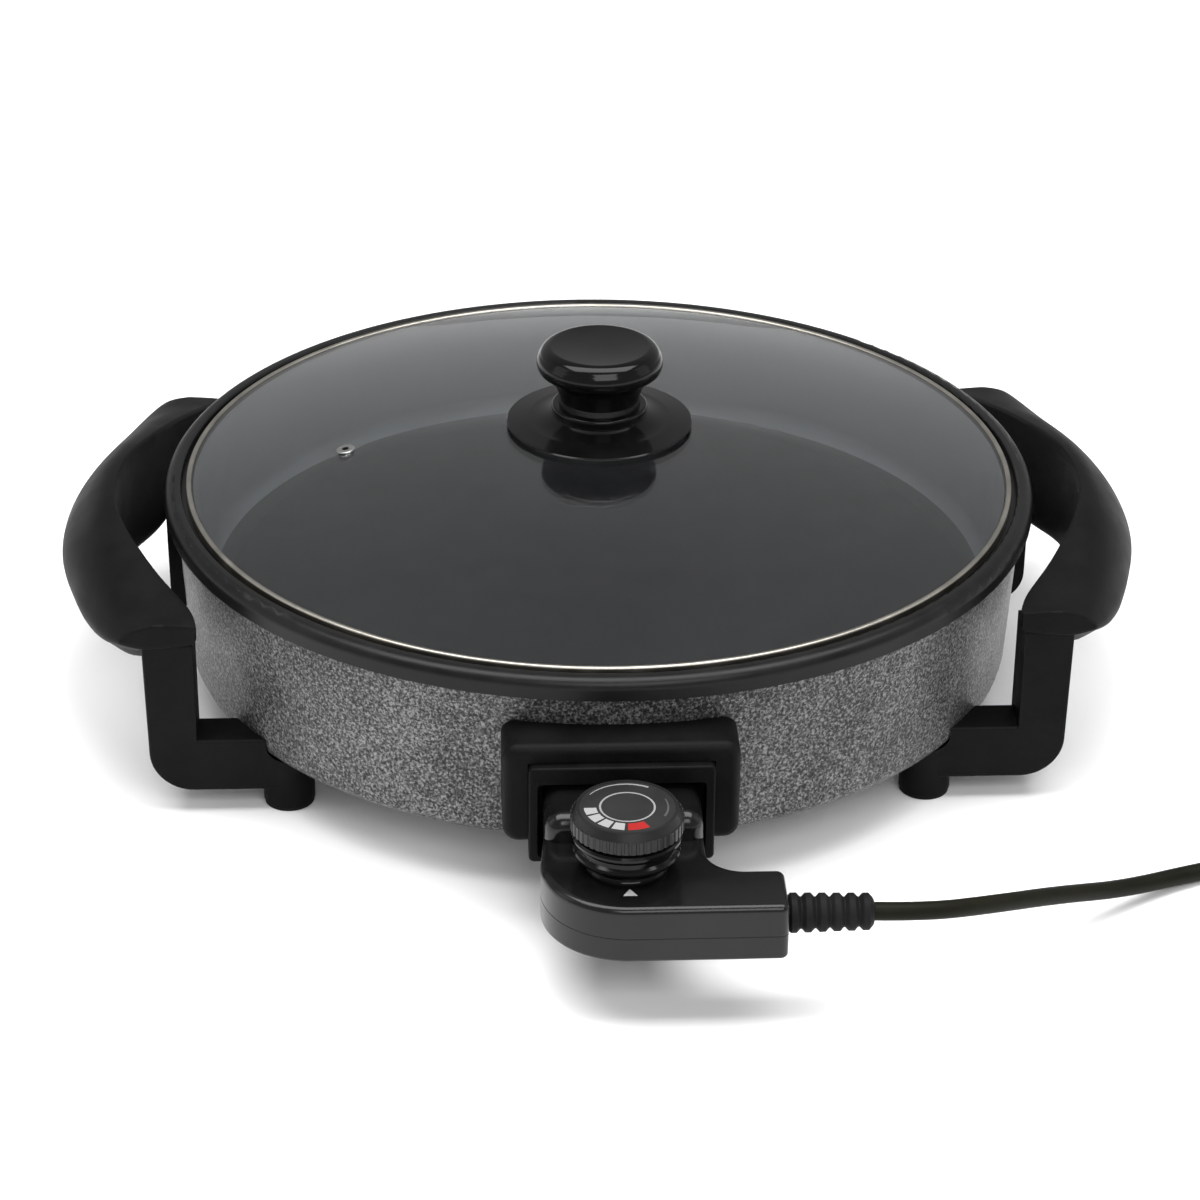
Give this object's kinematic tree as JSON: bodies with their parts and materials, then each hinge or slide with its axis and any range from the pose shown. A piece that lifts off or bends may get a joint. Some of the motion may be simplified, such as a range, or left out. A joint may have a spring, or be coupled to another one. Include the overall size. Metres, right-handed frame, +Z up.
{
  "type": "electric griddle",
  "caption": "Round electric griddle pan with a domed glass lid, two side grips on bent legs, and a plug-in thermostat with a dial and mains cord.",
  "frame": {"origin": "on the standing surface, midway across the pan, its grips and its thermostat, cord not counted; the pan's own axis is 46.25 mm behind it", "axes": "+Z up, +X right, -Y towards the thermostat, which is the front"},
  "size_m": [0.663, 0.5084, 0.1795],
  "materials": {
    "hammertone_body": "cast aluminium, hammered grey enamel outside, black non-stick coating inside and on the rim",
    "steel_plate": "plain rolled steel",
    "screw_steel": "zinc plated",
    "heater_sheath": "annealed sheath, dull",
    "black_moulding": "fine satin phenolic moulding",
    "gloss_casing": "polished moulding",
    "dial_plastic": "satin moulding",
    "foot_rubber": "matte",
    "glass": "clear tempered glass",
    "rim_steel": "bright rolled steel",
    "ceramic": "unglazed",
    "contact_brass": "plain",
    "switch_board": "phenolic board",
    "gasket": "silicone",
    "cord_jacket": "satin flexible jacket"
  },
  "bodies": {
    "pan": {"pan_body": "hammertone_body", "base_plate": "steel_plate", "base_screws": "screw_steel", "heating_element": "heater_sheath", "element_clips": "steel_plate", "probe_guide": "steel_plate", "socket_housing": "black_moulding", "socket_liner": "black_moulding", "terminal_bushes": "ceramic", "socket_screws": "screw_steel", "leg_front_left": "black_moulding", "leg_front_right": "black_moulding", "leg_rear_left": "black_moulding", "leg_rear_right": "black_moulding", "foot_pads": "foot_rubber", "foot_screws": "screw_steel", "side_lug_left": "black_moulding", "side_lug_right": "black_moulding", "grip_left": "black_moulding", "grip_right": "black_moulding", "grip_screws": "screw_steel"},
    "lid": {"lid_glass": "glass", "lid_ring": "rim_steel", "vent_eyelet": "rim_steel", "flange_gasket": "gasket", "knob_flange": "gloss_casing", "knob": "gloss_casing", "lid_washer": "gasket", "lid_screw": "screw_steel"},
    "thermostat": {"shell_lower": "gloss_casing", "shell_upper": "gloss_casing", "shell_screws": "screw_steel", "dial_pedestal": "gloss_casing", "switch_base": "switch_board", "switch_blades": "contact_brass", "contact_block": "ceramic", "contact_sleeves": "contact_brass", "probe": "screw_steel", "strain_relief": "cord_jacket", "cord_tube": "cord_jacket", "cord_tail": "cord_jacket", "cord_coil": "cord_jacket", "plug_body": "cord_jacket", "plug_pins": "screw_steel"},
    "dial": {"dial": "dial_plastic", "dial_disc": "dial_plastic", "dial_shaft": "screw_steel"}
  },
  "joints": [
    {"name": "lid_lift", "type": "slide", "parent": "pan", "child": "lid", "axis": [0, 0, 1], "range_m": [0, 0.15]},
    {"name": "thermostat_pull", "type": "slide", "parent": "pan", "child": "thermostat", "axis": [0, -1, 0], "range_m": [0, 0.11]},
    {"name": "dial_turn", "type": "hinge", "parent": "thermostat", "child": "dial", "pos_m": [0, -0.21775, 0.08], "axis": [0, 0, 1], "range_deg": [0, 240]}
  ]
}
